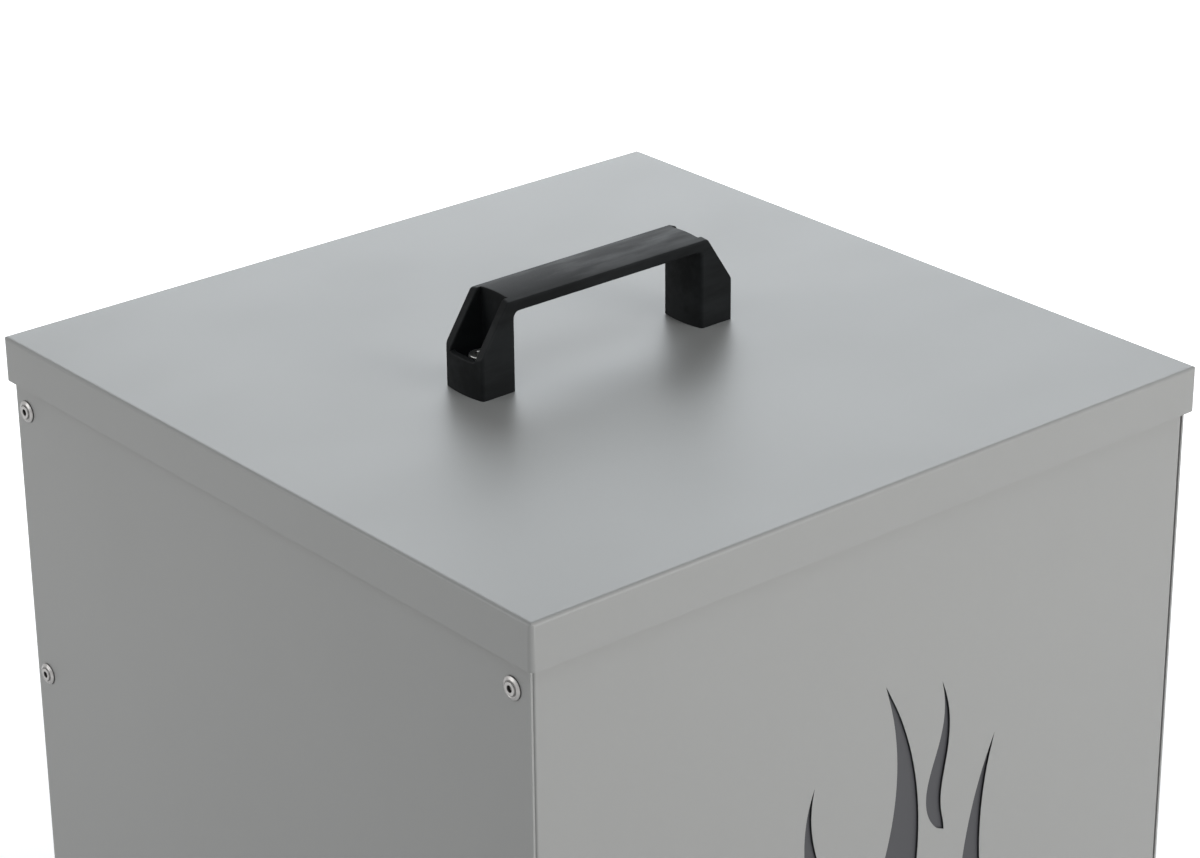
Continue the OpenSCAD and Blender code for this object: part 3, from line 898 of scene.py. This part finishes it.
# %% Sections
def half_section(y, walled):
    """The right half of the section at y, through a side wall or through the pocket."""
    gap = HALF_WIDTH - abs(y)
    soft = shrink(gap, EDGE)
    upright = shrink(gap, UPRIGHT_EDGE)
    under = shrink(gap, UNDER_EDGE)
    top = TOP - sag(y, CROWN) - soft
    end = HALF_LENGTH - sag(y, END_BULGE) - upright
    inner = ARCH_HALF + sag(y, ARCH_BULGE) + upright
    crown = [(0.0, top, 0), (POCKET_BACK - 1, top, 0)]
    if walled:
        rim = shrink(abs(y) - POCKET_SIDE, RIM)
        drop = (soft + rim) * math.hypot(1, 1 / SLOPE)
        brow = (HALF_LENGTH - (top - rim + drop - KNEE) * SLOPE, top - rim)
        knee = (end, KNEE + (HALF_LENGTH - end) / SLOPE - drop)
        outer = [(POCKET_BACK, top - rim, 0), (*brow, 1.0)]
        outer += [(*Vector(brow).lerp(Vector(knee), 0.08 + 0.044 * i), 0) for i in range(20)]
        outer += [(*knee, 0.8)]
    else:
        curl = max(abs(y) - POCKET_SIDE + MOUTH, 0.0)
        lip = POCKET_LIP + min(MOUTH - math.sqrt(MOUTH ** 2 - curl ** 2), 0.45)
        outer = [
            (POCKET_BACK, top, RIM),
            (POCKET_BACK, POCKET_FLOOR, 0.6),
            (POCKET_END, POCKET_FLOOR, 0.6),
            (POCKET_END, lip, RIM),
            (end, lip, EDGE),
        ]
    base = [
        (end, under, UNDER_EDGE),
        (inner, under, UNDER_EDGE),
        (inner, ARCH + soft, 3.0),
        (0.0, ARCH + soft, 0),
    ]
    return rounded(crown + outer + base, 6)


def section(y, walled):
    """The whole outline at y, as points in metres."""
    right = half_section(y, walled)
    left = [(-x, z) for x, z in reversed(right[1:-1])]
    return [Vector((x, y, z + SEAT)) * MM for x, z in right + left]


print("points through the pocket:", len(section(0, False)), "and a wall:", len(section(8, True)))

# %% Stations across the handle
inside = [0, 1, 2, 3, 4, 5, 5.5, 5.9, 6.2, 6.4, 6.55, 6.65, POCKET_SIDE]
quarter = [math.radians(a) for a in range(0, 91, 10)]
half_way = [(y, False) for y in inside]
half_way += [(POCKET_SIDE + RIM * (1 - math.cos(a)), True) for a in quarter]
half_way += [(HALF_WIDTH - UPRIGHT_EDGE * (1 - math.sin(a)), True) for a in quarter]
stations = [(-y, walled) for y, walled in reversed(half_way[1:])] + half_way
print("sections:", len(stations), "out to", round(stations[-1][0], 1), "mm on either side")

# %% Handle
handle_mesh = bpy.data.meshes.new("handle")
rings = [section(y, walled) for y, walled in stations]
count = len(rings[0])
verts = [point for ring in rings for point in ring]
faces = [tuple(range(count)), tuple(reversed(range(len(verts) - count, len(verts))))]
for row in range(len(rings) - 1):
    here = row * count
    there = here + count
    for i in range(count):
        j = (i + 1) % count
        faces.append((here + i, there + i, there + j, here + j))
handle_mesh.from_pydata(verts, [], faces)
grid = bmesh.new()
grid.from_mesh(handle_mesh)
bmesh.ops.remove_doubles(grid, verts=grid.verts, dist=WELD)
bmesh.ops.recalc_face_normals(grid, faces=grid.faces)
grid.to_mesh(handle_mesh)
holes = sum(1 for e in grid.edges if not e.is_manifold)
print("open edges:", holes, "volume in cm3:", round(grid.calc_volume() * 1e6, 2))
grid.free()
handle = bpy.data.objects.new("handle", handle_mesh)
collection.objects.link(handle)
shade(handle, 45)
weighted = handle.modifiers.new("broad_faces_flat", "WEIGHTED_NORMAL")
weighted.keep_sharp = True
settle(handle, "lid", "handle_plastic", nylon, "bridge_handle")

# %% [markdown]
# ## Rivets
# Blind rivets are pulled from outside: the head is a low dome with a rolled rim and a flat
# land round the hole, marked by the setting tool, and the far end swells behind the sheets.
# Head, grip and length are measured on the CAD solids, so the dressed rivets stay in place.
# Turning one rivet and copying it would do too, but the rows don't all grip the same depth.

# %% Measuring on the sides
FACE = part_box("right_side_panel")[1].x


def side_sizes(points):
    """The radii of a rivet's or stem's points, and their heights over the side sheet, in mm."""
    centre = middle(points)
    radii = [math.hypot(p.y - centre.y, p.z - centre.z) / MM for p in points]
    heights = [(abs(p.x) - FACE) / MM for p in points]
    return radii, heights


def side_places(groups):
    """Where the parts of a row stand: on the side sheet's face, with z pointing outwards."""
    out = -1 if middle(groups[0]).x < 0 else 1
    turn = Vector((out, 0, 0)).to_track_quat("Z", "Y").to_matrix().to_4x4()
    return [Matrix.Translation((out * FACE, middle(g).y, middle(g).z)) @ turn for g in groups]


print("the side sheets' faces are", round(FACE / MM, 2), "mm from the middle")

# %% Rivet rows
def rivet_row(node, name):
    """One row of rivets; the profile goes up the hole, over the head and down to the tail."""
    groups = solids(node)
    radii, heights = side_sizes(groups[0])
    bore = min(radii)
    head = max(radii)
    top = max(heights)
    tail = min(heights)
    shank = max(r for r, h in zip(radii, heights) if h - tail < 0.01)
    grip = max(h for r, h in zip(radii, heights) if h < -0.5 and r > shank + 0.3)
    bulb = max(r for r, h in zip(radii, heights) if h < -0.5)
    land = bore + 1.15
    profile = rounded([
        (bore, tail + 0.6, 0),
        (bore, top - 0.1, 0.2),
        (bore + 0.2, top, 0.15),
        (land, top, 0.15),
        (land + 0.1, top - 0.5, 0.12),
        (land + 0.35, top - 0.52, 0.15),
        (land + 0.7, top - 0.33, 0.3),
        (head - 0.9, top - 0.48, 0.5),
        (head - 0.15, 0.62, 0.3),
        (head, 0.35, 0.15),
        (head - 0.05, 0.0, 0.04),
        (shank, 0.0, 0),
        (shank, grip, 0),
        (bulb, grip - 0.05, 0.25),
        (bulb - 0.1, (grip * 2 + tail) / 3, 0.5),
        (shank, tail + 0.3, 0.4),
        (shank - 0.2, tail, 0.2),
        (bore + 0.1, tail, 0.1),
        (bore, tail + 0.5, 0),
    ])
    print("rivet head", round(2 * head, 2), "grip", round(-grip, 2), "bore", round(2 * bore, 2))
    row = turned(name, profile, side_places(groups), 56)
    settle(row, "bin", "rivet_metal", aluminium, node)


for node in sorted(n for n in nodes if n.startswith("rivets_")):
    rivet_row(node, node.replace("rivets", "rivet_row"))

# %% [markdown]
# ## Stems
# When a rivet is set, its steel stem snaps below the face of the head. The break is a rough,
# slightly cupped end, so a small fixed pattern pulls the stem out of round instead of leaving
# it as a plain cylinder. The stems differ in length, and each length gets its own lathe run.

# %% Broken stems
def broken(r, h, angle):
    """The uneven radius of a stem that was pulled until it broke."""
    return r * (1 + 0.035 * math.sin(3 * angle + 9 * h) + 0.02 * math.sin(7 * angle))


def stem_row(name, node, groups):
    """Stems of one length; the profile goes from the break down to the ball at the tail."""
    radii, heights = side_sizes(groups[0])
    top = max(heights)
    tail = min(heights)
    ball = max(radii)
    stem = max(r for r, h in zip(radii, heights) if h > top - 0.05)
    profile = rounded([
        (0.0, top - 0.22, 0),
        (stem * 0.4, top - 0.16, 0.1),
        (stem * 0.7, top, 0.15),
        (stem * 0.96, top - 0.1, 0.1),
        (stem * 0.96, tail + 1.9, 0.2),
        (ball, tail + 1.3, 0.4),
        (ball * 0.9, tail + 0.3, 0.5),
        (ball * 0.5, tail, 0.3),
        (0.0, tail, 0),
    ])
    row = turned(name, profile, side_places(groups), 24, broken)
    settle(row, "bin", "stem_steel", steel, node)


for side in ("left", "right"):
    node = "rivet_stems_" + side
    lengths = {}
    for group in solids(node):
        tail = round(min(side_sizes(group)[1]), 2)
        lengths.setdefault(tail, []).append(group)
    print(node, "tail depths", sorted(lengths))
    for i, tail in enumerate(sorted(lengths)):
        stem_row("stem_row_" + side + str(i), node, lengths[tail])

# %% [markdown]
# ## Feet
# Moulded rubber buffers with a soft rim and rings in the sole, so they don't slide. The
# recess hides the screw head and its washer. A bevelled copy of the solid would have the rim
# but not the rings, so the feet are turned too, with radii measured on the solid.

# %% Rubber feet
def rubber_foot(node, name):
    """One foot with its recess and three rings in its sole."""
    low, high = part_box(node)
    points = nodes[node].data.vertices
    centre = (low + high) / 2
    radii = [math.hypot(v.co.x - centre.x, v.co.y - centre.y) / MM for v in points]
    heights = [v.co.z / MM for v in points]
    tall = max(heights)
    hole = min(radii)
    brim = max(radii)
    sole = max(r for r, h in zip(radii, heights) if h < 0.01)
    recess = min(r for r, h in zip(radii, heights) if h < 0.01)
    seat = min(h for r, h in zip(radii, heights) if r < hole + 0.01)
    rings = []
    for i in range(3):
        r = recess + (sole - recess) * (i + 0.75) / 3.4
        rings += [(r, 0, 0.2), (r + 0.15, 0.5, 0.2), (r + 0.65, 0.5, 0.2), (r + 0.8, 0, 0.2)]
    profile = rounded([
        (hole, tall, 0),
        (hole, seat, 0.2),
        (recess, seat, 0.4),
        (recess, 0.0, 0.6),
        *rings,
        (sole, 0.0, 1.2),
        (brim, tall - 1.2, 0.8),
        (brim, tall, 0.5),
        (hole + 0.1, tall, 0),
    ])
    print("foot", round(2 * brim, 1), "mm wide,", round(tall, 1), "mm high, recess", round(seat, 2))
    foot = turned(name, profile, [Matrix.Translation((centre.x, centre.y, 0))], 72)
    settle(foot, "bin", "foot_rubber", rubber, node)


for corner in ("front_left", "front_right", "back_left", "back_right"):
    rubber_foot("foot_" + corner, "buffer_" + corner)

# %% [markdown]
# ## Screws, nuts and washers
# All are zinc plated steel. The handle's screws have a round head with a hexagon socket and
# lock nuts under the cover. The feet's have pan heads with a cross recess, and flanged nuts
# inside. Threads are rolled as a helix, so the shaping rule moves the groove with the angle.
# Nut blanks are turned before the hexagon is cut, which leaves curved chamfers on the
# corners: the radius is the smaller one of a hexagon and a cone. Cutting all this with
# boolean solids is slow and leaves thin slivers, and a rule for the radius leaves none.

# %% Hexagons and slots
ACROSS_FLATS = 8.0


def hexagon(angle, across):
    """The distance from the axis to the side of a hexagon."""
    sixth = math.tau / 6
    return across / 2 / math.cos((angle + sixth / 2) % sixth - sixth / 2)


def cross(angle):
    """1 in the four slots of a cross recess, less between them."""
    off = (angle + math.pi / 4) % (math.pi / 2) - math.pi / 4
    return 1.0 if abs(off) < 0.22 else 0.45


corner = hexagon(math.tau / 12, ACROSS_FLATS)
print("a nut is", ACROSS_FLATS, "mm across its flats and", round(2 * corner, 2), "across corners")

# %% Thread
PITCH = 0.8
THREAD_DEPTH = 0.42


def thread(first, last, radius):
    """The points of a threaded length and the rule that cuts the thread in them."""
    rows = int(abs(last - first) / (PITCH / 8))
    points = [(radius, first + (last - first) * i / rows) for i in range(rows + 1)]
    low, high = sorted((first, last))

    def shape(r, h, angle):
        if r < radius - 0.001 or r > radius + 0.001 or not low <= h <= high:
            return r
        turn = (h / PITCH - angle / math.tau) % 1
        fade = min(1.0, (h - low) / PITCH, (high - h) / PITCH)
        return r - THREAD_DEPTH * abs(2 * turn - 1) * fade

    return points, shape


print("10 mm of thread has", len(thread(0, 10, 2.5)[0]), "rings of points")

# %% Washers
def measured(points):
    """The axis of an upright turned solid, and its points as radii and heights in mm."""
    centre = middle(points)
    axis = Matrix.Translation((centre.x, centre.y, 0))
    return axis, [(math.hypot(p.x - centre.x, p.y - centre.y) / MM, p.z / MM) for p in points]


def washers(node, name, body):
    """Flat washers with the soft upper edges that stamping leaves."""
    groups = solids(node)
    pairs = measured(groups[0])[1]
    bore = min(r for r, h in pairs)
    brim = max(r for r, h in pairs)
    low = min(h for r, h in pairs)
    high = max(h for r, h in pairs)
    profile = rounded([
        (bore, low + 0.3, 0),
        (bore, high, 0.25),
        (brim, high, 0.25),
        (brim, low, 0.06),
        (bore, low, 0.06),
    ])
    places = [measured(group)[0] for group in groups]
    settle(turned(name, profile, places), body, "zinc_steel", zinc, node)


print("washers under the feet's screws:", len(solids("foot_washers")))

# %% Nuts
# Heights of a nut blank's chamfer, each with how far the cone has come out by then.
CHAMFER = [(0.0, 0.0), (0.1, 0.17), (0.2, 0.34), (0.32, 0.55), (0.45, 0.78)]
BLANK = ACROSS_FLATS / 2 - 0.1


def nuts(node, name, body, way, flange_r, flange_h, collar_h):
    """Hexagon nuts that bear on their lower face when way is 1, on their upper one when -1."""
    groups = solids(node)
    pairs = measured(groups[0])[1]
    bore = min(r for r, h in pairs)
    start = (min if way == 1 else max)(h for r, h in pairs)
    full = max(h for r, h in pairs) - min(h for r, h in pairs)
    hexed = full - collar_h
    if flange_r:
        profile = [(bore + 0.35, 0.0), (flange_r - 0.15, 0.0), (flange_r, 0.12), (flange_r, 0.45)]
        profile += [(flange_r - 0.2, 0.62), (BLANK + 0.4, flange_h)]
        corner = ACROSS_FLATS / math.sqrt(3)
        profile += [(corner, flange_h + 0.05), (corner, flange_h + 0.6)]
    else:
        profile = [(bore + 0.35, 0.0), (BLANK, 0.0)]
        profile += [(BLANK + out, up) for up, out in CHAMFER]
    profile += [(BLANK + out, hexed - up) for up, out in reversed(CHAMFER)]
    if collar_h:
        profile += rounded([
            (BLANK - 0.2, hexed + 0.02, 0),
            (BLANK - 0.35, full, 0.7),
            (bore + 0.5, full, 0.3),
            (bore + 0.3, full - 0.5, 0),
        ])
        profile += [(bore, full - 0.9)]
    else:
        profile += [(bore + 0.35, hexed), (bore, full - 0.35)]
    profile += [(bore, 0.35)]
    profile = [(r, start + way * h) for r, h in profile]
    limit = start + way * (flange_h + 0.02) if flange_r else start - way
    stop = start + way * (hexed + 0.01)

    def shape(r, h, angle):
        cut = (h - limit) * way > 0 and (stop - h) * way >= 0 and r > BLANK - 0.1
        return min(r, hexagon(angle, ACROSS_FLATS)) if cut else r

    places = [measured(group)[0] for group in groups]
    settle(turned(name, profile, places, shape=shape), body, "zinc_steel", zinc, node)


print("a nut blank's chamfer starts", BLANK, "mm from the axis")

# %% Screws
RECESS = 2.0
RECESS_MOUTH = 2.25
RECESS_DEPTH = 2.3


def screws(node, name, body, way, recess):
    """Screws whose shank points down when way is -1 and up when it is 1."""
    groups = solids(node)
    pairs = measured(groups[0])[1]
    tail = (min if way == -1 else max)(h for r, h in pairs)
    face = (max if way == -1 else min)(h for r, h in pairs)
    shank = max(r for r, h in pairs if abs(h - tail) < 0.01)
    head = max(r for r, h in pairs)
    seat = (min if way == -1 else max)(h for r, h in pairs if r > shank + 0.3)
    rows, cut = thread(seat + way * 3.2, tail - way * 0.7, shank)
    floor_h = face + way * RECESS_DEPTH
    dome = 0.5 if recess == "cross" else 0.0
    profile = [
        (0.0, floor_h + way * 0.3),
        (RECESS, floor_h),
        (RECESS, face + way * (0.25 + dome * 0.2)),
        (RECESS_MOUTH, face + way * dome * 0.2),
    ]
    profile += rounded([
        (2.6, face + way * dome * 0.3, 0),
        (head - 0.1 - dome, face + way * dome, 0.2 + dome),
        (head, face + way * (0.5 + dome), 0.3),
        (head, seat, 0.12),
        (shank + 0.3, seat, 0),
        (shank, seat + way * 0.4, 0.1),
    ])
    profile += rows
    profile += [(shank - 0.5, tail), (0.0, tail)]

    def shape(r, h, angle):
        if r in (RECESS, RECESS_MOUTH) and abs(h - face) < RECESS_DEPTH + 0.01:
            return hexagon(angle, 2 * r) if recess == "hexagon" else (r + 0.1) * cross(angle)
        return cut(r, h, angle)

    places = [measured(group)[0] for group in groups]
    print(name, "from", round(face, 2), "to", round(tail, 2), "mm, head", round(2 * head, 2), "mm")
    settle(turned(name, profile, places, shape=shape), body, "zinc_steel", zinc, node)


print("recesses are", RECESS_DEPTH, "mm deep")

# %% Zinc parts
washers("foot_washers", "washers_of_feet", "bin")
screws("foot_screws", "screws_of_feet", "bin", 1, "cross")
nuts("foot_nuts", "nuts_of_feet", "bin", 1, 5.75, 1.2, 0.0)
for side in ("left", "right"):
    screws("handle_screw_" + side, "screw_" + side, "lid", -1, "hexagon")
    washers("handle_washer_" + side, "washer_" + side, "lid")
    nuts("handle_nut_" + side, "nut_" + side, "lid", -1, 0.0, 0.0, 1.2)

# The two boxes are kept beside it, to see that the dressed bin is no larger than the CAD
# one.

# %% Finish
boxes = [[list(corner) for corner in box] for box in (cad_box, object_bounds())]
print("grown by, in mm:", [round((b - a) / MM, 3) for a, b in zip(boxes[0][1], boxes[1][1])])
